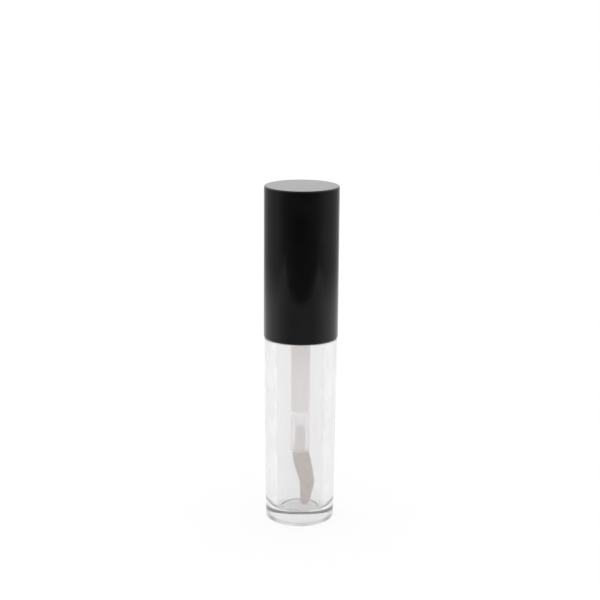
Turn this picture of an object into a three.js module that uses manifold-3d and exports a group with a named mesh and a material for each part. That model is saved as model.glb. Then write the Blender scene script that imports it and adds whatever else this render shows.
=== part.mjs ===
// A screw-capped lip gloss tube: a clear thick-walled bottle with a threaded neck and a wiper,
// and a long black cap that carries the wand with its flocked doe-foot tip.
// Millimetres, +Z up, the origin at the centre of the bottle's foot.

import * as THREE from "three";
import { mergeVertices } from "three/addons/utils/BufferGeometryUtils.js";
import Module from "manifold-3d";

const wasm = await Module();
wasm.setup();

// ---------- driving dimensions ----------
const TOTAL_HEIGHT = 74;
const CAP_RADIUS = 8;
const SHOULDER_HEIGHT = 41.2; // where the bottle's clear body ends and its neck begins
const BODY_TOP_RADIUS = 7.85;
const BODY_FOOT_RADIUS = 7.45; // the body is drafted towards its foot
const NECK_RADIUS = 6.15;
const NECK_HEIGHT = 12;
const ROD_RADIUS = 2.05;
const ROD_END = 15.7; // height of the rod's lower end, where the flocked tip starts
const THREAD_LEAD = 3; // rise for one turn
const RIM_GAP = 0.15; // between the bottle's shoulder and the cap's rim
const SLIP = 0.1; // between pieces that move on each other or are stacked
const PUSH = 0.05; // between pieces that are pushed together for good

// ---------- sizes that follow ----------
const LARGE_SIDES = 48;
const SMALL_SIDES = 24;
const FLOOR_HEIGHT = 2.8;
const FLOOR_RADIUS = 4.85;
const BORE_RADIUS = 5.4; // in the neck; the cavity is drafted from here down to its floor
const NECK_TOP = SHOULDER_HEIGHT + NECK_HEIGHT;
const DRAFT_TOP = NECK_TOP - 6;
const THREAD_HEIGHT = 0.45;
const THREAD_START = SHOULDER_HEIGHT + 4.9;
const CAP_RIM = SHOULDER_HEIGHT + RIM_GAP;
const SHELL_WALL = 0.65;
const SHELL_TOP = 1.2;
const SHELL_BORE = CAP_RADIUS - SHELL_WALL;
const INSERT_RADIUS = SHELL_BORE - PUSH;
const INSERT_BORE = NECK_RADIUS + THREAD_HEIGHT + 0.12;
const INSERT_RIM = CAP_RIM + 0.6;
const FLANGE_TOP = NECK_TOP + SLIP + 0.75;
const WASHER_BASE = FLANGE_TOP + SLIP;
const WASHER_THICKNESS = 0.7;
const CEILING = WASHER_BASE + WASHER_THICKNESS + SLIP;
const CEILING_THICKNESS = 2;
const ROD_SEAT = CEILING + CEILING_THICKNESS;
const ROD_HEAD_RADIUS = 3;
const ROD_HEAD_THICKNESS = 1;
const INSERT_TOP = ROD_SEAT + 4.2;
const SOCKET_RADIUS = 1.2;
const SOCKET_DEPTH = 9.05;
const FLOCK_THICKNESS = 0.35;

// ---------- helpers ----------
const at = (r, z) => new THREE.Vector2(r, z);

// Points of a round corner in the section plane, from one angle to the other in degrees.
function arc(r, z, radius, from, to, steps) {
  return Array.from({ length: steps + 1 }, (_, i) => {
    const angle = THREE.MathUtils.degToRad(from + ((to - from) * i) / steps);
    return at(r + radius * Math.cos(angle), z + radius * Math.sin(angle));
  });
}

// A section, anticlockwise with the axis at its left, turned about Z. It starts and ends on the
// axis, or closes on itself if closed is true.
function turned(section, sides, closed = false) {
  const points = closed ? [...section, section[0].clone()] : section;
  return new THREE.LatheGeometry(points, sides).rotateX(Math.PI / 2);
}

// A closed geometry as a solid for joining.
function solidOf(geometry) {
  const bare = geometry.index ? geometry.toNonIndexed() : geometry.clone();
  bare.deleteAttribute("normal");
  bare.deleteAttribute("uv");
  const merged = mergeVertices(bare, 1e-4);
  const corners = [];
  for (let i = 0; i < merged.index.count; i += 3) {
    const [a, b, c] = [0, 1, 2].map((k) => merged.index.getX(i + k));
    if (a !== b && b !== c && c !== a) corners.push(a, b, c);
  }
  return new wasm.Manifold(
    new wasm.Mesh({
      numProp: 3,
      vertProperties: merged.attributes.position.array,
      triVerts: new Uint32Array(corners),
    }),
  );
}

function geometryOf(solid) {
  const mesh = solid.getMesh();
  const geometry = new THREE.BufferGeometry();
  geometry.setAttribute("position", new THREE.BufferAttribute(mesh.vertProperties, 3));
  geometry.setIndex(new THREE.BufferAttribute(mesh.triVerts, 1));
  return geometry.toNonIndexed();
}

function joined(geometries) {
  const solids = geometries.map(solidOf);
  return geometryOf(solids.slice(1).reduce((whole, next) => whole.add(next), solids[0]));
}

// A helical rib with a trapezoid section that fades into its wall at both ends. inwards is -1 for
// a nut's thread, which grows towards the axis.
function threadRib({ wall, start, turns, outwards }) {
  const steps = Math.round(turns * LARGE_SIDES);
  const ROOT_WIDTH = 1.3;
  const CREST_WIDTH = 0.5;
  const EMBED = 0.2;
  const FADE_TURNS = 0.1;
  const rib = new THREE.BoxGeometry(1, 1, 1, 1, steps, 1);
  const position = rib.attributes.position;
  for (let i = 0; i < position.count; i++) {
    const crest = outwards > 0 ? position.getX(i) > 0 : position.getX(i) < 0;
    const turn = (position.getY(i) + 0.5) * turns;
    const fade = Math.min(1, turn / FADE_TURNS, (turns - turn) / FADE_TURNS);
    const reach = crest ? fade * (THREAD_HEIGHT + 0.05) - 0.05 : -EMBED;
    const radius = wall + outwards * reach;
    const height = start + THREAD_LEAD * turn + position.getZ(i) * (crest ? CREST_WIDTH : ROOT_WIDTH);
    const angle = turn * 2 * Math.PI;
    position.setXYZ(i, radius * Math.cos(angle), radius * Math.sin(angle), height);
  }
  return rib;
}

// ---------- the bottle ----------
function bottleGeometry() {
  const foot = 0.8; // radius of the foot's edge
  const recess = { radius: 4, rim: 4.6, depth: 0.35 };
  const edge = 0.2;
  const bead = { radius: NECK_RADIUS + 0.4, low: SHOULDER_HEIGHT + 1.3, high: SHOULDER_HEIGHT + 2.1 };
  const groove = { z: NECK_TOP - 2.6, radius: BORE_RADIUS + 0.2, half: 0.5 };
  const corner = 1.4;
  const section = [
    at(0, recess.depth),
    at(recess.radius, recess.depth),
    at(recess.rim, 0),
    ...arc(BODY_FOOT_RADIUS - foot, foot, foot, -90, 0, 6),
    ...arc(BODY_TOP_RADIUS - edge, SHOULDER_HEIGHT - edge, edge, 0, 90, 3),
    at(NECK_RADIUS + 0.3, SHOULDER_HEIGHT),
    at(NECK_RADIUS, SHOULDER_HEIGHT + 0.3),
    at(NECK_RADIUS, bead.low - 0.3),
    at(bead.radius, bead.low),
    at(bead.radius, bead.high),
    at(NECK_RADIUS, bead.high + 0.3),
    ...arc(NECK_RADIUS - 0.3, NECK_TOP - 0.3, 0.3, 0, 90, 2),
    at(BORE_RADIUS + 0.15, NECK_TOP),
    at(BORE_RADIUS, NECK_TOP - 0.15),
    at(BORE_RADIUS, groove.z + groove.half),
    at(groove.radius, groove.z),
    at(BORE_RADIUS, groove.z - groove.half),
    at(BORE_RADIUS, DRAFT_TOP),
    ...arc(FLOOR_RADIUS - corner, FLOOR_HEIGHT + corner, corner, 0, -90, 6),
    at(0, FLOOR_HEIGHT),
  ];
  const thread = threadRib({ wall: NECK_RADIUS, start: THREAD_START, turns: 1.4, outwards: 1 });
  return joined([turned(section, LARGE_SIDES), thread]);
}

// ---------- the wiper: a flanged sleeve in the neck whose lip scrapes the wand ----------
function wiperGeometry() {
  const sleeve = BORE_RADIUS - PUSH;
  const wall = 0.55;
  const lip = { radius: ROD_RADIUS + 0.12, z: NECK_TOP - 8.8, thickness: 0.4 };
  const taperTop = NECK_TOP - 5.6;
  const snap = { z: NECK_TOP - 2.6, reach: 0.15, half: 0.4 };
  const section = [
    at(lip.radius, lip.z),
    at(lip.radius + lip.thickness, lip.z),
    at(sleeve, taperTop),
    at(sleeve, snap.z - snap.half),
    at(sleeve + snap.reach, snap.z),
    at(sleeve, snap.z + snap.half),
    at(sleeve, NECK_TOP + SLIP),
    at(NECK_RADIUS - 0.2, NECK_TOP + SLIP),
    at(NECK_RADIUS - 0.2, FLANGE_TOP - 0.15),
    at(NECK_RADIUS - 0.35, FLANGE_TOP),
    at(sleeve - wall + 0.3, FLANGE_TOP),
    at(sleeve - wall, FLANGE_TOP - 0.3),
    at(sleeve - wall, taperTop + 0.2),
    at(lip.radius + 0.1, lip.z + lip.thickness + 0.3),
    at(lip.radius, lip.z + lip.thickness),
  ];
  return turned(section, LARGE_SIDES, true);
}

// ---------- the sealing washer, loose round the wand under the insert's ceiling ----------
function washerGeometry() {
  const inner = ROD_RADIUS + 0.25;
  const outer = NECK_RADIUS + 0.25;
  const top = WASHER_BASE + WASHER_THICKNESS;
  const section = [at(inner, WASHER_BASE), at(outer, WASHER_BASE), at(outer, top), at(inner, top)];
  return turned(section, LARGE_SIDES, true);
}

// ---------- the cap's outer shell ----------
function shellGeometry() {
  const topEdge = 0.3;
  const rimEdge = 0.2;
  const ceiling = TOTAL_HEIGHT - SHELL_TOP;
  const RIBS = 6;
  const rib = { width: 0.8, depth: 1, low: INSERT_TOP + SLIP };
  const section = [
    at(0, ceiling),
    at(SHELL_BORE, ceiling),
    at(SHELL_BORE, CAP_RIM + 0.5),
    at(SHELL_BORE + 0.3, CAP_RIM),
    ...arc(CAP_RADIUS - rimEdge, CAP_RIM + rimEdge, rimEdge, -90, 0, 2),
    ...arc(CAP_RADIUS - topEdge, TOTAL_HEIGHT - topEdge, topEdge, 0, 90, 3),
    at(0, TOTAL_HEIGHT),
  ];
  const stops = Array.from({ length: RIBS }, (_, i) => {
    const height = ceiling + SHELL_TOP / 2 - rib.low;
    const stop = new THREE.BoxGeometry(rib.depth + SHELL_WALL / 2, rib.width, height);
    stop.translate(SHELL_BORE + SHELL_WALL / 4 - rib.depth / 2, 0, rib.low + height / 2);
    return stop.rotateZ((2 * Math.PI * i) / RIBS);
  });
  return joined([turned(section, LARGE_SIDES), ...stops]);
}

// ---------- the threaded insert that joins the cap's shell, the neck and the wand ----------
function insertGeometry() {
  const leadIn = 0.4;
  const skirt = INSERT_RADIUS - 0.8;
  const boss = { bore: ROD_HEAD_RADIUS + PUSH, radius: 4, top: ROD_SEAT + 1.7 };
  const section = [
    at(ROD_RADIUS + PUSH, CEILING),
    at(INSERT_BORE, CEILING),
    at(INSERT_BORE, INSERT_RIM + leadIn),
    at(INSERT_BORE + 0.3, INSERT_RIM),
    at(INSERT_RADIUS, INSERT_RIM),
    at(INSERT_RADIUS, INSERT_TOP - 0.3),
    at(INSERT_RADIUS - 0.3, INSERT_TOP),
    at(skirt, INSERT_TOP),
    at(skirt, ROD_SEAT),
    at(boss.radius, ROD_SEAT),
    at(boss.radius, boss.top),
    at(boss.bore, boss.top),
    at(boss.bore, ROD_SEAT),
    at(ROD_RADIUS + PUSH, ROD_SEAT),
  ];
  const thread = threadRib({
    wall: INSERT_BORE,
    start: THREAD_START - THREAD_LEAD / 2,
    turns: 1.25,
    outwards: -1,
  });
  return joined([turned(section, LARGE_SIDES, true), thread]);
}

// ---------- the wand's rod: a headed shaft with a blind socket for the tip's plug ----------
function rodGeometry() {
  const seat = ROD_SEAT + PUSH;
  const head = seat + ROD_HEAD_THICKNESS;
  const section = [
    at(0, ROD_END + SOCKET_DEPTH),
    at(SOCKET_RADIUS, ROD_END + SOCKET_DEPTH),
    at(SOCKET_RADIUS, ROD_END + 0.2),
    at(SOCKET_RADIUS + 0.2, ROD_END),
    at(ROD_RADIUS - 0.15, ROD_END),
    at(ROD_RADIUS, ROD_END + 0.15),
    at(ROD_RADIUS, seat),
    at(ROD_HEAD_RADIUS, seat),
    at(ROD_HEAD_RADIUS, head - 0.2),
    at(ROD_HEAD_RADIUS - 0.2, head),
    at(0, head),
  ];
  return turned(section, SMALL_SIDES);
}

// ---------- the doe-foot ----------
// Its shape is a set of stations down its length: how far the middle leans out from the wand's
// axis, and half its width in the plane that it bends in. It ends in a round nose.
const TIP_TURN = -35; // degrees about the axis from +X to the side that the tip bends to
const TIP_NOSE = { z: 3.15, length: 1.5 };
const TIP_LEAN = [
  { z: ROD_END - 0.1, lean: 0.18, half: 1.86 },
  { z: 13.7, lean: 0.51, half: 1.95 },
  { z: 12.2, lean: 0.92, half: 1.9 },
  { z: 10.7, lean: 1.4, half: 1.76 },
  { z: 8.85, lean: 1.89, half: 1.58 },
  { z: 6.8, lean: 1.7, half: 1.35 },
  { z: TIP_NOSE.z + TIP_NOSE.length, lean: 1.49, half: 1.1 },
];

// Stations from the top of the tip to its nose, taken in by inset all round.
function tipStations(inset) {
  const curve = new THREE.CatmullRomCurve3(
    TIP_LEAN.map(({ z, lean, half }) => new THREE.Vector3(lean, half, z)),
  );
  const length = curve.getPoints(12).map((p) => ({ lean: p.x, half: p.y - inset, z: p.z }));
  const last = length.at(-1);
  const noseLength = TIP_NOSE.length - inset;
  const nose = Array.from({ length: 5 }, (_, i) => {
    const angle = (Math.PI / 2) * ((i + 1) / 5);
    return {
      lean: last.lean - 0.05 * (i + 1),
      half: i === 4 ? 0 : last.half * Math.cos(angle),
      z: last.z - noseLength * Math.sin(angle),
    };
  });
  return [...length, ...nose];
}

// A lathe whose rings are leaned over and flattened one by one: station i shapes ring i. The
// whole is then turned to the side that the tip bends to.
function leaned(stations) {
  const section = stations.map(({ half, z }) => at(half, z));
  const geometry = turned(section, SMALL_SIDES);
  const position = geometry.attributes.position;
  for (let i = 0; i < position.count; i++) {
    const { lean = 0, depth = 1 } = stations[i % stations.length];
    position.setX(i, position.getX(i) + lean);
    position.setY(i, position.getY(i) * depth);
  }
  return geometry.rotateZ(THREE.MathUtils.degToRad(TIP_TURN));
}

// The tip is round where it meets the rod and a little flatter towards its nose.
function flattened(stations) {
  return stations.map((s) => ({
    ...s,
    depth: THREE.MathUtils.mapLinear(Math.min(s.z, ROD_END), TIP_NOSE.z, ROD_END, 1.16, 1),
  }));
}

function flockedTipGeometry() {
  const outside = flattened(tipStations(0));
  const inside = flattened(tipStations(FLOCK_THICKNESS));
  return leaned([...outside.reverse(), ...inside]);
}

// ---------- the tip's moulded core: a plug in the rod's socket and a spine inside the flock ----
function coreGeometry() {
  const plug = SOCKET_RADIUS - 2 * PUSH;
  const plugTop = ROD_END + 5.7;
  const roundLength = 1.5;
  const spine = flattened(tipStations(FLOCK_THICKNESS + 2 * PUSH));
  const collar = { ...spine[0], z: ROD_END - 0.12 };
  const round = Array.from({ length: 5 }, (_, i) => {
    const angle = THREE.MathUtils.degToRad(i * 22.5);
    return { half: plug * Math.sin(angle), z: plugTop - roundLength * (1 - Math.cos(angle)) };
  });
  const shape = [
    ...round,
    { half: plug, z: ROD_END + 0.3 },
    { half: plug, z: collar.z },
    collar,
    ...spine.slice(1),
  ];
  return leaned(shape.reverse());
}

// ---------- materials ----------
const finish = {
  blackCap: { color: 0x0b0b0c, roughness: 0.12, metalness: 0 },
  clearBottle: { color: 0xf4f4f4, roughness: 0.03, metalness: 0, transparent: true, opacity: 0.3 },
  insertPlastic: { color: 0xe4e2dc, roughness: 0.45, metalness: 0 },
  rodPlastic: { color: 0xdcd9d5, roughness: 0.35, metalness: 0, transparent: true, opacity: 0.7 },
  corePlastic: { color: 0xd6cfc8, roughness: 0.5, metalness: 0 },
  flock: { color: 0xd9cfc7, roughness: 0.95, metalness: 0 },
  wiperPlastic: { color: 0xeceae4, roughness: 0.4, metalness: 0 },
  sealFoam: { color: 0xf0f0ee, roughness: 0.8, metalness: 0 },
};

function piece(name, geometry, look) {
  const mesh = new THREE.Mesh(geometry, new THREE.MeshStandardMaterial(finish[look]));
  mesh.name = name;
  return mesh;
}

const bottle = new THREE.Group();
bottle.add(piece("bottle", bottleGeometry(), "clearBottle"));
bottle.add(piece("wiper", wiperGeometry(), "wiperPlastic"));

const wand = new THREE.Group();
wand.add(piece("wand_rod", rodGeometry(), "rodPlastic"));
wand.add(piece("applicator_core", coreGeometry(), "corePlastic"));
wand.add(piece("flocked_tip", flockedTipGeometry(), "flock"));

const cap = new THREE.Group();
cap.add(piece("cap_shell", shellGeometry(), "blackCap"));
cap.add(piece("cap_insert", insertGeometry(), "insertPlastic"));
cap.add(piece("seal_washer", washerGeometry(), "sealFoam"));
cap.add(wand);

const tube = new THREE.Group();
tube.add(bottle, cap);

export default tube;
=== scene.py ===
"""The looks of a clear lip gloss tube: bottle, wiper, screw cap, and the wand with its flocked tip."""

import math
import random

import bmesh
import bpy
from mathutils import Matrix, Vector


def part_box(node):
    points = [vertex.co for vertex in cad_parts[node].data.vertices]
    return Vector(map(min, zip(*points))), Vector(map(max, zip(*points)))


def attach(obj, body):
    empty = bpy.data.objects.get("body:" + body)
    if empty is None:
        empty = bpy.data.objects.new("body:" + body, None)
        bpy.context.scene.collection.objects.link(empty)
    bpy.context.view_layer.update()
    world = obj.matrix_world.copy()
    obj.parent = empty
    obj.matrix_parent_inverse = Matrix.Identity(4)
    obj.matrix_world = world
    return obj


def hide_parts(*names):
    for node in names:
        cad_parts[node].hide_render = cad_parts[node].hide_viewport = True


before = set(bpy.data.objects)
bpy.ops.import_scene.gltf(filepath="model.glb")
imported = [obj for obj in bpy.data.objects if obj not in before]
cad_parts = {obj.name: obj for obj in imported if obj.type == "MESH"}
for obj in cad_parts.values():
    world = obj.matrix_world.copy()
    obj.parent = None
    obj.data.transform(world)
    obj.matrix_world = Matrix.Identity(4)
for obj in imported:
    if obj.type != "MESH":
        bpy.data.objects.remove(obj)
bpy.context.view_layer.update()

MM = 0.001  # meshes are shaped in millimetres and scaled to metres once they are done
ROUND_STEPS = 160  # steps in a full turn of a large round piece
WAND_STEPS = 64
THREAD_STEPS = 72  # steps in one turn of a thread


# ---------------------------------------------------------------- places, in millimetres


def box_mm(node):
    """The lowest and highest corner of a CAD node, in millimetres."""
    return [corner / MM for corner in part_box(node)]


bottle_high = box_mm("bottle")[1]
wiper_low, wiper_high = box_mm("wiper")
washer_low, washer_high = box_mm("seal_washer")
insert_low, insert_high = box_mm("cap_insert")
shell_low, shell_high = box_mm("cap_shell")
rod_low, rod_high = box_mm("wand_rod")
core_high = box_mm("applicator_core")[1]
tip_low, tip_high = box_mm("flocked_tip")

BODY_RADIUS = bottle_high.x
NECK_TOP = bottle_high.z
SHOULDER = NECK_TOP - 12
FOOT_RADIUS = BODY_RADIUS - 0.4
NECK_RADIUS = 6.15
BORE_RADIUS = 5.4  # in the neck; the cavity is drafted from here down to its floor
DRAFT_TOP = NECK_TOP - 6
FLOOR = 2.8
FLOOR_RADIUS = 4.85
THREAD_LEAD = 3.0
THREAD_HEIGHT = 0.45
THREAD_START = SHOULDER + 4.9
ROD_RADIUS = 2.05
ROD_END = rod_low.z
SOCKET_RADIUS = 1.2
SOCKET_TOP = ROD_END + 9.05
HEAD_SEAT = rod_high.z - 1.0


# ---------------------------------------------------------------- shaping


def add_supports(bm, gap=0.08):
    """Points close to both ends of each straight run, so that shading stays true along it."""
    for edge in bm.edges[:]:
        length = edge.calc_length()
        if length < 6 * gap:
            continue
        first, last = edge.verts
        middle = bmesh.utils.edge_split(edge, first, gap / length)[1]
        rest = next(link for link in middle.link_edges if last in link.verts)
        bmesh.utils.edge_split(rest, last, gap / rest.calc_length())


def turned(corners, closed=False, steps=ROUND_STEPS):
    """A section of (radius, height) or (radius, height, rounding) corners, turned about Z."""
    bm = bmesh.new()
    verts = [bm.verts.new((corner[0], 0, corner[1])) for corner in corners]
    for first, second in zip(verts, verts[1:]):
        bm.edges.new((first, second))
    if closed:
        bm.edges.new((verts[-1], verts[0]))
    for vert, corner in zip(verts, corners):
        if len(corner) == 3:
            bmesh.ops.bevel(
                bm,
                geom=[vert],
                offset=corner[2],
                offset_type="OFFSET",
                segments=max(3, round(8 * math.sqrt(corner[2]))),
                profile=0.5,
                affect="VERTICES",
                material=-1,
            )
    add_supports(bm)
    bmesh.ops.spin(
        bm,
        geom=bm.verts[:] + bm.edges[:],
        cent=(0, 0, 0),
        axis=(0, 0, 1),
        dvec=(0, 0, 0),
        angle=2 * math.pi,
        steps=steps,
        use_merge=True,
    )
    bmesh.ops.remove_doubles(bm, verts=bm.verts, dist=1e-4)
    bmesh.ops.recalc_face_normals(bm, faces=bm.faces)
    return bm


def thread_rib(wall, start, turns, outwards):
    """A helical rib on a round wall that fades out at both ends; outwards is -1 inside a nut."""
    root, crest, embed, fade_turns = 0.65, 0.25, 0.15, 0.12
    bm = bmesh.new()
    section = [(-embed, -root), (THREAD_HEIGHT, -crest), (THREAD_HEIGHT, crest), (-embed, root)]
    verts = [bm.verts.new((wall + outwards * reach, 0, start + rise)) for reach, rise in section]
    face = bm.faces.new(verts)
    steps = round(turns * THREAD_STEPS)
    bmesh.ops.spin(
        bm,
        geom=[face] + face.edges[:] + verts,
        cent=(0, 0, 0),
        axis=(0, 0, 1),
        dvec=(0, 0, THREAD_LEAD / THREAD_STEPS),
        angle=2 * math.pi * steps / THREAD_STEPS,
        steps=steps,
        use_merge=False,
    )
    for index, vert in enumerate(bm.verts):
        radius = vert.co.xy.length
        if (radius - wall) * outwards > 0:
            turn = index // len(section) / THREAD_STEPS
            fade = min(1, turn / fade_turns, (turns - turn) / fade_turns)
            vert.co.xy *= (wall + outwards * (THREAD_HEIGHT * max(fade, 0) - 0.02)) / radius
    bmesh.ops.recalc_face_normals(bm, faces=bm.faces)
    return bm


def mesh_object(bm, name):
    """Turns a bmesh into an object in the scene."""
    mesh = bpy.data.meshes.new(name)
    bm.to_mesh(mesh)
    bm.free()
    piece = bpy.data.objects.new(name, mesh)
    bpy.context.scene.collection.objects.link(piece)
    return piece


def united(name, base, additions):
    """One closed mesh of a base and what is moulded onto it."""
    piece = mesh_object(base, name)
    extras = [mesh_object(bm, f"{name}_addition") for bm in additions]
    for extra in extras:
        join = piece.modifiers.new("join", "BOOLEAN")
        join.operation = "UNION"
        join.solver = "EXACT"
        join.object = extra
    whole = piece.evaluated_get(bpy.context.evaluated_depsgraph_get())
    mesh = bpy.data.meshes.new_from_object(whole)
    piece.modifiers.clear()
    piece.data = mesh
    for extra in extras:
        bpy.data.objects.remove(extra)
    return piece


def placed(piece, body, node, slot, *materials, smooth_to=32):
    """Gives a finished piece its size in metres, its shading, its materials and its body."""
    piece.data.transform(Matrix.Scale(MM, 4))
    for polygon in piece.data.polygons:
        polygon.use_smooth = True
    piece.data.set_sharp_from_angle(angle=math.radians(smooth_to))
    for material in materials:
        piece.data.materials.append(material)
    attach(piece, body)
    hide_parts(node)


# ---------------------------------------------------------------- materials


def node_material(name):
    """A new material, with its nodes, its links and its shader."""
    material = bpy.data.materials.new(name)
    material.use_nodes = True
    nodes = material.node_tree.nodes
    return material, nodes, material.node_tree.links, nodes["Principled BSDF"]


def plain(shader, **values):
    """Sets sockets of a shader that are the same all over, such as ior=1.5 for IOR."""
    names = {"ior": "IOR", "specular_ior_level": "Specular IOR Level"}
    for key, value in values.items():
        shader.inputs[names.get(key, key.replace("_", " ").title())].default_value = value


def maths(nodes, links, operation, *values):
    """A Math node; a value is a number or another node's output."""
    node = nodes.new("ShaderNodeMath")
    node.operation = operation
    for socket, value in zip(node.inputs, values):
        if isinstance(value, (int, float)):
            socket.default_value = value
        else:
            links.new(value, socket)
    return node.outputs[0]


def level_by(nodes, links, value, stops):
    """A level that depends on a value from 0 to 1, through a few stops."""
    node = nodes.new("ShaderNodeValToRGB")
    ramp = node.color_ramp
    while len(ramp.elements) < len(stops):
        ramp.elements.new(0.5)
    for element, (position, level) in zip(ramp.elements, stops):
        element.position = position
        element.color = (level, level, level, 1)
    links.new(value, node.inputs[0])
    return node.outputs[0]


def mixed(nodes, links, share, first, second):
    """Two colours mixed by a share from 0 to 1."""
    node = nodes.new("ShaderNodeMix")
    node.data_type = "RGBA"
    links.new(share, node.inputs[0])
    links.new(first, node.inputs[6])
    links.new(second, node.inputs[7])
    return node.outputs[2]


def ease(nodes, links, value, low, high, interpolation="SMOOTHSTEP"):
    """0 below low, 1 above high, and a step between them, smooth unless it is said otherwise."""
    node = nodes.new("ShaderNodeMapRange")
    node.interpolation_type = interpolation
    node.inputs["From Min"].default_value = low
    node.inputs["From Max"].default_value = high
    links.new(value, node.inputs["Value"])
    return node.outputs[0]


def noise(nodes, links, vector, scale, detail):
    """Noise from about 0 to 1 over a place; scale is per metre."""
    node = nodes.new("ShaderNodeTexNoise")
    node.inputs["Scale"].default_value = scale
    node.inputs["Detail"].default_value = detail
    links.new(vector, node.inputs["Vector"])
    return node.outputs["Fac"]


def new_group(name, setting, result):
    """An empty node group with one number in, 1 unless it is set, and one number out."""
    group = bpy.data.node_groups.new(name, "ShaderNodeTree")
    socket = group.interface.new_socket(setting, in_out="INPUT", socket_type="NodeSocketFloat")
    socket.default_value = 1.0
    group.interface.new_socket(result, in_out="OUTPUT", socket_type="NodeSocketFloat")
    return group, group.nodes, group.links


def handling_marks_group():
    """Fine rubbing marks and soft smears, as a mask from 0 to 1."""
    group, nodes, links = new_group("handling_marks", "Scale", "Marks")
    inputs = nodes.new("NodeGroupInput")
    outputs = nodes.new("NodeGroupOutput")
    place = nodes.new("ShaderNodeTexCoord")
    sized = nodes.new("ShaderNodeVectorMath")
    sized.operation = "SCALE"
    links.new(place.outputs["Object"], sized.inputs[0])
    links.new(inputs.outputs["Scale"], sized.inputs["Scale"])
    lengthwise = nodes.new("ShaderNodeMapping")
    lengthwise.inputs["Scale"].default_value = (1, 1, 0.12)
    lengthwise.inputs["Rotation"].default_value = (0.4, 0.2, 0)
    links.new(sized.outputs[0], lengthwise.inputs["Vector"])
    smears = ease(nodes, links, noise(nodes, links, sized.outputs[0], 180, 4), 0.35, 0.75, "LINEAR")
    hairs = ease(nodes, links, noise(nodes, links, lengthwise.outputs[0], 2600, 2), 0.62, 0.74, "LINEAR")
    links.new(maths(nodes, links, "MULTIPLY_ADD", hairs, 0.4, smears), outputs.inputs["Marks"])
    return group


def moulded_skin_group():
    """The slight unevenness of a moulded plastic skin, as a height."""
    group, nodes, links = new_group("moulded_skin", "Grain", "Height")
    inputs = nodes.new("NodeGroupInput")
    outputs = nodes.new("NodeGroupOutput")
    place = nodes.new("ShaderNodeTexCoord").outputs["Object"]
    waves = noise(nodes, links, place, 260, 1)
    grain = noise(nodes, links, place, 5200, 3)
    height = maths(nodes, links, "MULTIPLY_ADD", grain, inputs.outputs["Grain"], waves)
    links.new(height, outputs.inputs["Height"])
    return group


handling_marks = handling_marks_group()
moulded_skin = moulded_skin_group()


def add_group(nodes, group, **values):
    """Places a node group in a material with values of its own."""
    node = nodes.new("ShaderNodeGroup")
    node.node_tree = group
    for key, value in values.items():
        node.inputs[key].default_value = value
    return node


def vary(nodes, links, source, target, low, high):
    """Feeds a socket with a mask stretched between two values."""
    stretch = nodes.new("ShaderNodeMapRange")
    stretch.inputs["To Min"].default_value = low
    stretch.inputs["To Max"].default_value = high
    links.new(source, stretch.inputs["Value"])
    links.new(stretch.outputs[0], target)


def tint(nodes, links, source, target, low, high):
    """Feeds a colour socket with two colours mixed by a mask."""
    mix = nodes.new("ShaderNodeMix")
    mix.data_type = "RGBA"
    mix.inputs[6].default_value = (*low, 1)
    mix.inputs[7].default_value = (*high, 1)
    links.new(source, mix.inputs[0])
    links.new(mix.outputs[2], target)


def bump(nodes, links, height, shader, distance):
    """Gives a shader relief from a height; distance is in metres."""
    node = nodes.new("ShaderNodeBump")
    node.inputs["Distance"].default_value = distance
    links.new(height, node.inputs["Height"])
    links.new(node.outputs[0], shader.inputs["Normal"])


def clear_plastic(name, high, low, smooth, rough):
    """Clear plastic with the faint haze of its moulding."""
    material, nodes, links, shader = node_material(name)
    plain(shader, transmission_weight=0.92, ior=1.57)
    marks = add_group(nodes, handling_marks, Scale=0.8)
    vary(nodes, links, marks.outputs["Marks"], shader.inputs["Roughness"], smooth, rough)
    tint(nodes, links, marks.outputs["Marks"], shader.inputs["Base Color"], high, low)
    return material


def gloss_black():
    """High-gloss black plastic."""
    material, nodes, links, shader = node_material("gloss_black_plastic")
    plain(shader, ior=1.5)
    marks = add_group(nodes, handling_marks, Scale=1.0)
    skin = add_group(nodes, moulded_skin, Grain=0.03)
    vary(nodes, links, marks.outputs["Marks"], shader.inputs["Roughness"], 0.02, 0.06)
    deep, worn = (0.0035, 0.0035, 0.0038), (0.006, 0.006, 0.0064)
    tint(nodes, links, marks.outputs["Marks"], shader.inputs["Base Color"], deep, worn)
    bump(nodes, links, skin.outputs["Height"], shader, 0.000004)
    return material


def natural_plastic(name, low, high, rough, grain, **values):
    """Uncoloured satin plastic, as the insert, the wiper and the core are moulded in."""
    material, nodes, links, shader = node_material(name)
    plain(shader, ior=1.5, **values)
    marks = add_group(nodes, handling_marks, Scale=1.4)
    skin = add_group(nodes, moulded_skin, Grain=grain)
    vary(nodes, links, marks.outputs["Marks"], shader.inputs["Roughness"], rough, rough + 0.12)
    tint(nodes, links, marks.outputs["Marks"], shader.inputs["Base Color"], high, low)
    bump(nodes, links, skin.outputs["Height"], shader, 0.00001)
    return material


def soft_foam():
    """Fine white foam with closed cells."""
    material, nodes, links, shader = node_material("white_sealing_foam")
    plain(shader, roughness=0.85)
    cells = nodes.new("ShaderNodeTexVoronoi")
    cells.inputs["Scale"].default_value = 5000
    links.new(nodes.new("ShaderNodeTexCoord").outputs["Object"], cells.inputs["Vector"])
    dark, pale = (0.7, 0.7, 0.69), (0.88, 0.88, 0.87)
    # the cells are painted darker in their hollows, where the bump sinks them: painted shade
    tint(nodes, links, cells.outputs["Distance"], shader.inputs["Base Color"], dark, pale)
    bump(nodes, links, cells.outputs["Distance"], shader, 0.00006)
    return material


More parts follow.
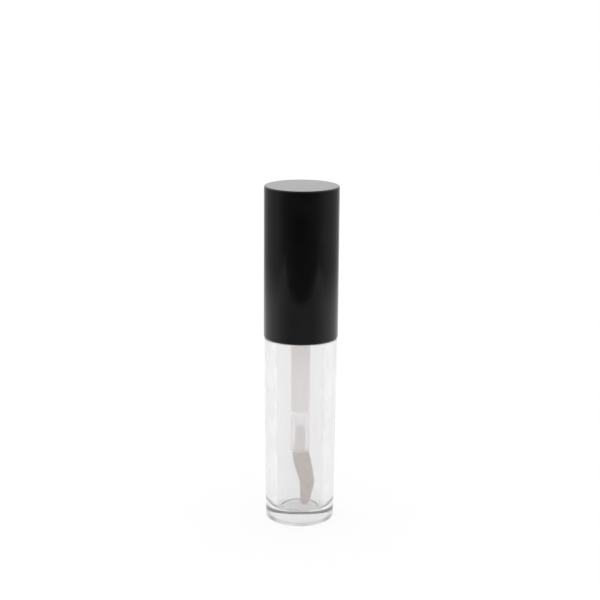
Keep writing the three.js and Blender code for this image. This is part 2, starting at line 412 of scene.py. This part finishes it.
def flock_fibre():
    """Off-white flock, a little darker where its fibres clump."""
    material, nodes, links, shader = node_material("off_white_flock")
    plain(shader, roughness=0.9, sheen_weight=0.3, sheen_roughness=0.5)
    place = nodes.new("ShaderNodeTexCoord").outputs["Object"]
    tufts = noise(nodes, links, place, 9000, 4)
    clumps = noise(nodes, links, place, 900, 3)
    dark, pale = (0.43, 0.37, 0.345), (0.58, 0.515, 0.49)
    tint(nodes, links, clumps, shader.inputs["Base Color"], dark, pale)
    bump(nodes, links, tufts, shader, 0.00012)
    return material


# ---------------------------------------------------------------- the bottle


def make_bottle():
    """A thick-walled bottle with a drafted cavity, a shallow recess under its foot and a thread."""
    recess, recess_rim, recess_depth = 4.0, 4.6, 0.35
    bead = SHOULDER + 1.7
    groove = NECK_TOP - 2.6
    base = turned(
        [
            (0, recess_depth),
            (recess, recess_depth, 0.15),
            (recess_rim, 0, 0.2),
            (FOOT_RADIUS, 0, 0.8),
            (BODY_RADIUS, SHOULDER, 0.2),
            (NECK_RADIUS, SHOULDER, 0.25),
            (NECK_RADIUS, bead - 0.65, 0.1),
            (NECK_RADIUS + 0.4, bead - 0.4, 0.08),
            (NECK_RADIUS + 0.4, bead + 0.4, 0.08),
            (NECK_RADIUS, bead + 0.65, 0.1),
            (NECK_RADIUS, NECK_TOP, 0.3),
            (BORE_RADIUS, NECK_TOP, 0.12),
            (BORE_RADIUS, groove + 0.5),
            (BORE_RADIUS + 0.2, groove, 0.15),
            (BORE_RADIUS, groove - 0.5),
            (BORE_RADIUS, DRAFT_TOP),
            (FLOOR_RADIUS, FLOOR, 1.4),
            (0, FLOOR),
        ]
    )
    piece = united("clear_bottle", base, [thread_rib(NECK_RADIUS, THREAD_START, 1.4, 1)])
    # clear plastic hardly dims the light that passes through it
    piece.visible_shadow = False
    piece.visible_diffuse = False
    clear, smeared = (0.955, 0.95, 0.952), (0.94, 0.934, 0.937)
    polished = clear_plastic("clear_polished_plastic", clear, smeared, 0.0, 0.05)
    # the frosted plastic is tinted greyer than the polished one: painted shade under the foot
    frosted_with_painted_shade = clear_plastic("frosted_plastic_painted_shade", (0.9, 0.89, 0.895), (0.85, 0.84, 0.845), 0.3, 0.4)
    placed(piece, "bottle", "bottle", "clear_bottle", polished, frosted_with_painted_shade)
    # the recess in the foot is left matt by its mould, and its plastic is tinted greyer there as painted
    # shade under the foot
    for polygon in piece.data.polygons:
        centre = polygon.center / MM
        if centre.z < recess_depth + 0.01 and centre.xy.length < recess_rim:
            polygon.material_index = 1


def make_wiper():
    """A flanged sleeve that snaps into the neck and narrows to a lip round the rod."""
    sleeve = BORE_RADIUS - 0.05
    wall = 0.55
    lip = ROD_RADIUS + 0.12
    taper = NECK_TOP - 5.6
    snap = NECK_TOP - 2.6
    flange_radius = wiper_high.x
    section = turned(
        [
            (lip, wiper_low.z, 0.08),
            (lip + 0.4, wiper_low.z, 0.08),
            (sleeve, taper, 0.3),
            (sleeve, snap - 0.4),
            (sleeve + 0.15, snap, 0.1),
            (sleeve, snap + 0.4),
            (sleeve, NECK_TOP + 0.1),
            (flange_radius, NECK_TOP + 0.1, 0.08),
            (flange_radius, wiper_high.z, 0.15),
            (sleeve - wall, wiper_high.z, 0.3),
            (sleeve - wall, taper + 0.2, 0.4),
            (lip, wiper_low.z + 0.6, 0.15),
        ],
        closed=True,
    )
    milky = natural_plastic("milky_wiper_plastic", (0.74, 0.73, 0.7), (0.86, 0.85, 0.83), 0.34, 0.2)
    placed(mesh_object(section, "neck_wiper"), "wiper", "wiper", "wiper_plastic", milky)


# ---------------------------------------------------------------- the cap


def make_washer():
    """A flat foam ring that seals the cap against the wiper's flange."""
    inner = ROD_RADIUS + 0.25
    edge = 0.12
    section = turned(
        [
            (inner, washer_low.z, edge),
            (washer_high.x, washer_low.z, edge),
            (washer_high.x, washer_high.z, edge),
            (inner, washer_high.z, edge),
        ],
        closed=True,
    )
    piece = mesh_object(section, "sealing_washer")
    placed(piece, "seal", "seal_washer", "seal_foam", soft_foam())


def make_insert():
    """The threaded sleeve inside the cap, with a boss that holds the rod."""
    bore = NECK_RADIUS + THREAD_HEIGHT + 0.12
    ceiling = washer_high.z + 0.1
    seat = ceiling + 2
    skirt = insert_high.x - 0.8
    hole = ROD_RADIUS + 0.05
    boss_bore, boss_radius, boss_top = 3.05, 4.0, seat + 1.7
    base = turned(
        [
            (hole, ceiling, 0.06),
            (bore, ceiling, 0.3),
            (bore, insert_low.z + 0.4),
            (bore + 0.3, insert_low.z, 0.1),
            (insert_high.x, insert_low.z, 0.1),
            (insert_high.x, insert_high.z, 0.3),
            (skirt, insert_high.z, 0.1),
            (skirt, seat, 0.2),
            (boss_radius, seat, 0.2),
            (boss_radius, boss_top, 0.1),
            (boss_bore, boss_top, 0.1),
            (boss_bore, seat),
            (hole, seat, 0.05),
        ],
        closed=True,
    )
    rib = thread_rib(bore, THREAD_START - THREAD_LEAD / 2, 1.25, -1)
    piece = united("threaded_insert", base, [rib])
    satin = natural_plastic("satin_insert_plastic", (0.72, 0.71, 0.68), (0.85, 0.84, 0.81), 0.38, 0.3)
    placed(piece, "cap", "cap_insert", "insert_plastic", satin)


def make_shell():
    """The cap's outer shell, with ribs above the insert that centre it."""
    bore = shell_high.x - 0.65
    ceiling = shell_high.z - 1.2
    rib_low = insert_high.z + 0.1
    rib_depth, rib_width, rib_count, embed = 1.0, 0.8, 6, 0.4
    base = turned(
        [
            (0, ceiling),
            (bore, ceiling, 0.3),
            (bore, shell_low.z + 0.5),
            (bore + 0.3, shell_low.z, 0.08),
            (shell_high.x, shell_low.z, 0.15),
            (shell_high.x, shell_high.z, 0.3),
            (0, shell_high.z),
        ]
    )
    ribs = []
    for index in range(rib_count):
        rib = bmesh.new()
        bmesh.ops.create_cube(rib, size=1)
        size = (rib_depth + embed, rib_width, ceiling + embed - rib_low)
        middle = (bore - rib_depth / 2 + embed / 2, 0, rib_low + size[2] / 2)
        bmesh.ops.scale(rib, vec=size, verts=rib.verts)
        bmesh.ops.translate(rib, vec=middle, verts=rib.verts)
        turn = Matrix.Rotation(2 * math.pi * index / rib_count, 3, "Z")
        bmesh.ops.rotate(rib, cent=(0, 0, 0), matrix=turn, verts=rib.verts)
        ribs.append(rib)
    piece = united("black_cap_shell", base, ribs)
    placed(piece, "cap", "cap_shell", "black_cap", gloss_black())


# ---------------------------------------------------------------- the wand


def make_rod():
    """The rod has a solid part and, round the socket at its lower end, a thin clearer part."""
    piece = mesh_object(
        turned(
            [
                (0, SOCKET_TOP),
                (SOCKET_RADIUS, SOCKET_TOP, 0.15),
                (SOCKET_RADIUS, ROD_END, 0.12),
                (ROD_RADIUS, ROD_END, 0.15),
                (ROD_RADIUS, SOCKET_TOP),
                (ROD_RADIUS, HEAD_SEAT),
                (rod_high.x, HEAD_SEAT, 0.08),
                (rod_high.x, rod_high.z, 0.2),
                (0, rod_high.z),
            ],
            steps=WAND_STEPS,
        ),
        "wand_rod_shaft",
    )
    solid = natural_plastic(
        "translucent_rod_plastic",
        (0.76, 0.725, 0.71),
        (0.81, 0.775, 0.76),
        0.3,
        0.02,
        transmission_weight=0.4,
    )
    thin = natural_plastic(
        "translucent_socket_plastic",
        (0.955, 0.935, 0.94),
        (0.985, 0.965, 0.97),
        0.16,
        0.02,
        transmission_weight=0.75,
    )
    placed(piece, "cap", "wand_rod", "rod_plastic", solid, thin)
    # light passes through the thin wall of the socket to the plug inside it
    piece.visible_shadow = False
    piece.visible_diffuse = False
    for polygon in piece.data.polygons:
        if polygon.center.z < (SOCKET_TOP - 0.01) * MM:
            polygon.material_index = 1


TIP_TURN = Matrix.Rotation(math.radians(-35), 3, "Z")  # from +X towards the front
TIP_TOP = tip_high.z
TIP_LENGTH = tip_high.z - tip_low.z
# share of the way down, lean from the wand's axis, half the width
TIP_STATIONS = [
    (0.0, 0.18, 1.86),
    (0.153, 0.51, 1.95),
    (0.273, 0.92, 1.9),
    (0.394, 1.4, 1.76),
    (0.542, 1.89, 1.58),
    (0.707, 1.7, 1.35),
    (0.88, 1.49, 1.1),
]


def smooth_between(stations, share):
    """Catmull-Rom interpolation of the stations' lean and half width."""
    index = max(i for i in range(len(stations) - 1) if stations[i][0] <= share + 1e-9)
    before = stations[max(index - 1, 0)]
    here, after = stations[index], stations[index + 1]
    beyond = stations[min(index + 2, len(stations) - 1)]
    t = (share - here[0]) / (after[0] - here[0])
    return [
        0.5
        * (
            2 * here[k]
            + (after[k] - before[k]) * t
            + (2 * before[k] - 5 * here[k] + 4 * after[k] - beyond[k]) * t * t
            + (3 * here[k] - before[k] - 3 * after[k] + beyond[k]) * t * t * t
        )
        for k in (1, 2)
    ]


def tip_rings(inset):
    """Rings down the tip as (height, lean, half width, depth over width), taken in by inset."""
    body_rings, nose_rings, nose_sway, nose_point, deepening = 24, 9, 0.25, 0.04, 0.16
    straight = TIP_STATIONS[-1][0]
    rings = []
    for step in range(body_rings + 1):
        share = straight * step / body_rings
        lean, half = smooth_between(TIP_STATIONS, share)
        rings.append((TIP_TOP - share * TIP_LENGTH, lean, half - inset))
    height, lean, half = rings[-1]
    nose = height - tip_low.z - inset
    for step in range(1, nose_rings):
        angle = math.radians(90 * step / nose_rings)
        drop = nose * math.sin(angle)
        rings.append((height - drop, lean - nose_sway * drop / nose, half * math.cos(angle)))
    rings.append((height - nose, lean - nose_sway, nose_point))
    span = ROD_END - tip_low.z
    return [
        (z, lean, half, 1 + deepening - deepening * min(1, (z - tip_low.z) / span))
        for z, lean, half in rings
    ]


def grow_rings(bm, rings):
    """Extrudes a circle from ring to ring and closes the last one."""
    height, lean, half, depth = rings[0]
    made = bmesh.ops.create_circle(bm, cap_ends=False, radius=1, segments=WAND_STEPS)
    verts = made["verts"]
    edges = list(dict.fromkeys(edge for vert in verts for edge in vert.link_edges))
    bmesh.ops.scale(bm, vec=(half, half * depth, 1), verts=verts)
    bmesh.ops.translate(bm, vec=(lean, 0, height), verts=verts)
    for ring in rings[1:]:
        grown = bmesh.ops.extrude_edge_only(bm, edges=edges)["geom"]
        verts = [item for item in grown if isinstance(item, bmesh.types.BMVert)]
        edges = [item for item in grown if isinstance(item, bmesh.types.BMEdge)]
        edges = [edge for edge in edges if all(vert in verts for vert in edge.verts)]
        bmesh.ops.translate(bm, vec=(-lean, 0, -height), verts=verts)
        bmesh.ops.scale(bm, vec=(ring[2] / half, ring[2] * ring[3] / (half * depth), 1), verts=verts)
        height, lean, half, depth = ring
        bmesh.ops.translate(bm, vec=(lean, 0, height), verts=verts)
    bmesh.ops.contextual_create(bm, geom=edges)
    return made["verts"]


def turned_to_bend(bm):
    """Turns a tip's mesh to the side that it bends to, and points its faces outwards."""
    bmesh.ops.rotate(bm, cent=(0, 0, 0), matrix=TIP_TURN, verts=bm.verts)
    bmesh.ops.recalc_face_normals(bm, faces=bm.faces)
    return bm


def make_fibres(spots, flock):
    """Short fibres that stand on the skin at spots of (centre, normal, area)."""
    count, length, root, point, raised, splay = 2600, 0.18, 0.022, 0.008, 0.01, 0.45
    chance = random.Random(5)
    spike = bmesh.new()
    bmesh.ops.create_cone(spike, cap_ends=True, segments=3, radius1=root, radius2=point, depth=length)
    bmesh.ops.translate(spike, vec=(0, 0, raised), verts=spike.verts)
    corners = len(spike.verts)
    pattern = bpy.data.meshes.new("fibre")
    spike.to_mesh(pattern)
    spike.free()
    bm = bmesh.new()
    for centre, normal, area in chance.choices(spots, [spot[2] for spot in spots], k=count):
        along = Vector([chance.uniform(-1, 1) for _ in range(3)])
        along -= along.dot(normal) * normal
        upright = normal + splay * Vector([chance.uniform(-1, 1) for _ in range(3)])
        turn = upright.to_track_quat("Z", "X").to_matrix().to_4x4()
        bm.from_mesh(pattern)
        bm.verts.ensure_lookup_table()
        place = Matrix.Translation(centre + along * 0.5 * math.sqrt(area)) @ turn
        bmesh.ops.transform(bm, matrix=place, verts=bm.verts[-corners:])
    piece = mesh_object(bm, "flock_fibres")
    placed(piece, "cap", "flocked_tip", "flock", flock)


def make_tip():
    """The flocked skin: an outer and an inner surface joined by a rim at the top."""
    flock = flock_fibre()
    bm = bmesh.new()
    outer = grow_rings(bm, tip_rings(0.08))
    outside = bm.faces[:]
    inner = grow_rings(bm, tip_rings(0.35))
    rims = []
    for verts in (outer, inner):
        near = [edge for vert in verts for edge in vert.link_edges]
        rims += [edge for edge in near if all(end in verts for end in edge.verts)]
    bmesh.ops.bridge_loops(bm, edges=list(dict.fromkeys(rims)))
    turned_to_bend(bm)
    spots = [(face.calc_center_median(), face.normal.copy(), face.calc_area()) for face in outside]
    # the faces don't come in the same order each time
    spots.sort(key=lambda spot: tuple(round(value, 3) for value in spot[0].zyx))
    make_fibres(spots, flock)
    piece = mesh_object(bm, "flocked_tip_skin")
    placed(piece, "cap", "flocked_tip", "flock", flock, smooth_to=60)


def make_core():
    """A plug with a rounded top in the rod's socket, and a spine inside the flocked skin."""
    plug, round_length = SOCKET_RADIUS - 0.1, 1.5
    rings = [
        (core_high.z - round_length * (1 - math.cos(angle)), 0, plug * math.sin(angle), 1)
        for angle in [math.radians(step) for step in range(6, 91, 12)]
    ] + [
        (ROD_END + 0.3, 0, plug, 1),
        (ROD_END - 0.1, 0, plug, 1),
    ]
    spine = [ring for ring in tip_rings(0.45) if ring[0] < ROD_END - 0.12]
    bm = bmesh.new()
    grow_rings(bm, rings + spine)
    bmesh.ops.contextual_create(bm, geom=[edge for edge in bm.edges if edge.is_boundary])
    piece = mesh_object(turned_to_bend(bm), "tip_core_and_plug")
    satin = natural_plastic("satin_core_plastic", (0.42, 0.375, 0.35), (0.49, 0.445, 0.42), 0.45, 0.3)
    placed(piece, "cap", "applicator_core", "core_plastic", satin, smooth_to=50)


# ---------------------------------------------------------------- the studio


def make_table(name, outline, height, brightness):
    """A flat part of the table. Gloss reflects the studio's own picture of it instead."""
    bmesh.ops.translate(outline, vec=(0, 0, height), verts=outline.verts)
    table = mesh_object(outline, name)
    table.data.transform(Matrix.Scale(MM, 4))
    material, _, _, shader = node_material(name)
    colour = (brightness, brightness, brightness, 1)
    plain(shader, base_color=colour, roughness=0.8, specular_ior_level=0.1)
    table.data.materials.append(material)
    table.visible_glossy = False


def make_floor():
    """A white table, with a grey disc under the tube's foot as a painted shadow of the foot."""
    half_size, contact_radius, contact_steps = 4000, FOOT_RADIUS - 0.85, 96
    wide = bmesh.new()
    bmesh.ops.create_grid(wide, x_segments=1, y_segments=1, size=half_size)
    make_table("white_table", wide, height=-0.02, brightness=0.96)
    under = bmesh.new()
    bmesh.ops.create_circle(under, cap_ends=True, segments=contact_steps, radius=contact_radius)
    # a grey disc hidden under the foot, seen only through the clear bottle: painted shadow of the foot
    make_table("painted_foot_shadow", under, height=-0.01, brightness=0.6)


# brightness round the studio, as (0 ahead of the tube's front to 1 behind it, brightness)
NEAR_TABLE = [(0, 0.25), (0.1, 0.25), (0.29, 0.45), (0.42, 0.62), (0.68, 0.76), (0.82, 0.78), (0.93, 0.95)]
ROOM = [
    (0, 0.02), (0.1, 0.06), (0.2, 0.12), (0.38, 0.28), (0.57, 0.33), (0.75, 0.35), (0.9, 0.46), (1, 0.83),
]
ABOVE = [(0, 0.38), (0.15, 0.42), (0.35, 0.8), (0.6, 1.0), (0.85, 1.15)]
HIGHER = [(0, 0.35), (0.35, 0.7), (0.85, 0.9)]
# how steeply the table's far edge is seen, and how much higher it is off to the sides
TABLE_EDGE_SLOPE = -0.2506
TABLE_EDGE_RISE = [(0, 0), (0.08, 0.008), (0.2, 0.03), (0.4, 0.01)]
DOME_BRIGHTNESS = 1.15


def make_world():
    """A white studio, brightest behind the tube, and dark on the side that faces the front.

    Below the horizon it is what gloss reflects: the near table, and the dim room past its edge.
    """
    world = bpy.data.worlds.new("studio")
    world.use_nodes = True
    nodes, links = world.node_tree.nodes, world.node_tree.links
    direction = nodes.new("ShaderNodeSeparateXYZ")
    links.new(nodes.new("ShaderNodeTexCoord").outputs["Generated"], direction.inputs[0])
    x, y, z = direction.outputs
    along_x = maths(nodes, links, "MULTIPLY", x, x)
    along_both = maths(nodes, links, "MULTIPLY_ADD", y, y, along_x)
    across = maths(nodes, links, "SQRT", along_both)
    slope = maths(nodes, links, "DIVIDE", z, across)
    # 0 straight ahead of the tube's front, 1 straight behind it
    facing = maths(nodes, links, "DIVIDE", y, across)
    behind = maths(nodes, links, "MULTIPLY_ADD", facing, 0.5, 0.5)
    near_table = level_by(nodes, links, behind, NEAR_TABLE)
    room = level_by(nodes, links, behind, ROOM)
    above = level_by(nodes, links, behind, ABOVE)
    higher = level_by(nodes, links, behind, HIGHER)
    # the table's edge is sharp and nearest straight ahead, and softer round the sides
    farther = maths(nodes, links, "SUBTRACT", slope, level_by(nodes, links, behind, TABLE_EDGE_RISE))
    offset = maths(nodes, links, "SUBTRACT", farther, TABLE_EDGE_SLOPE)
    softness = maths(nodes, links, "MULTIPLY_ADD", behind, 0.05, 0.008)
    edge = ease(nodes, links, maths(nodes, links, "DIVIDE", offset, softness), -0.5, 0.5)
    below = mixed(nodes, links, edge, near_table, room)
    over = mixed(nodes, links, ease(nodes, links, slope, 0.2, 0.34), above, higher)
    seen = mixed(nodes, links, ease(nodes, links, slope, 0.04, 0.14), below, over)
    # soft even light from all round for whatever scatters it
    dome = nodes.new("ShaderNodeRGB").outputs[0]
    dome.default_value = (DOME_BRIGHTNESS, DOME_BRIGHTNESS, DOME_BRIGHTNESS, 1)
    path = nodes.new("ShaderNodeLightPath")
    whole = mixed(nodes, links, path.outputs["Is Diffuse Ray"], seen, dome)
    links.new(whole, nodes["Background"].inputs["Color"])
    bpy.context.scene.world = world


def make_camera():
    """A camera before the tube and above it, that looks slightly down; lengths are in metres."""
    data = bpy.data.cameras.new("camera")
    data.sensor_width = 36
    data.lens = 86.6
    data.clip_start = 0.01
    camera = bpy.data.objects.new("camera", data)
    bpy.context.scene.collection.objects.link(camera)
    side, distance, height, pitch, roll = -0.00023, 0.300, 0.1235, 0.2428, 0.0072
    camera.matrix_world = (
        Matrix.Translation((side, -distance, height))
        @ Matrix.Rotation(math.pi / 2 - pitch, 4, "X")
        @ Matrix.Rotation(roll, 4, "Z")
    )
    bpy.context.scene.camera = camera


make_camera()
make_bottle()
make_wiper()
make_washer()
make_insert()
make_shell()
make_rod()
make_core()
make_tip()
make_floor()
make_world()
bpy.context.scene.view_settings.view_transform = "Standard"
